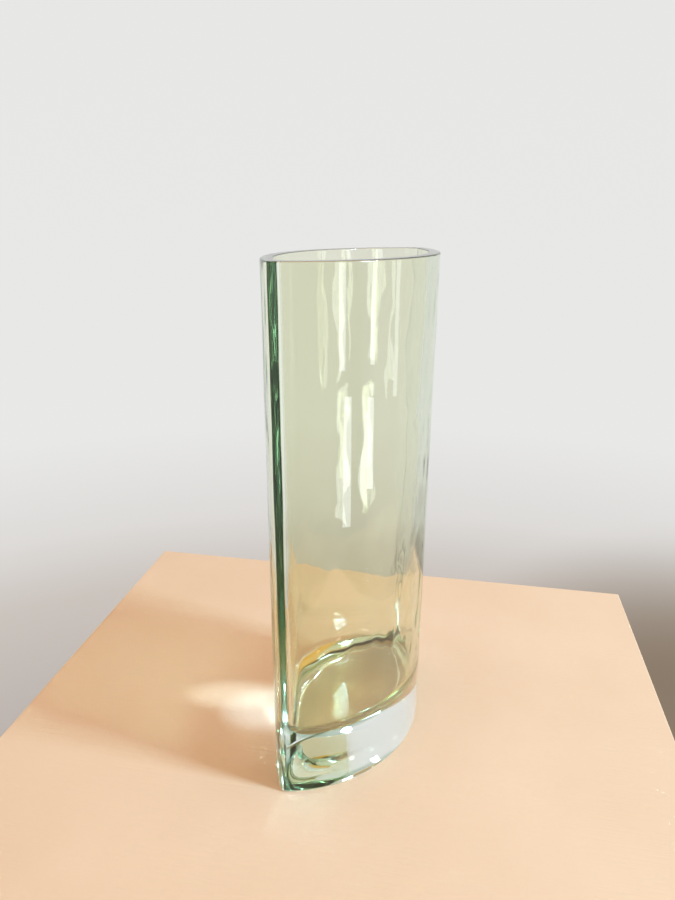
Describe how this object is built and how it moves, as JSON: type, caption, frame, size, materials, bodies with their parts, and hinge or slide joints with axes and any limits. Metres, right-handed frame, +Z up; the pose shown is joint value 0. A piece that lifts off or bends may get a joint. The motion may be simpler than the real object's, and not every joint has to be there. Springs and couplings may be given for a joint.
{
  "type": "glass bud vase",
  "caption": "Tall glass vase with a pointed oval plan, straight walls, a green lining and a thick clear base, for a few cut stems.",
  "frame": {"origin": "middle of the foot, on the surface that the vase stands on", "axes": "+Z up towards the rim, X along the plan's long axis from corner to corner, Y across the vase"},
  "size_m": [0.099, 0.054, 0.21],
  "materials": {
    "clear_glass": "polished, clear, faint aqua tint in thick places",
    "green_glass": "polished, transparent yellow green"
  },
  "bodies": {
    "root": {"clear_casing": "clear_glass", "green_lining": "green_glass"}
  },
  "joints": []
}
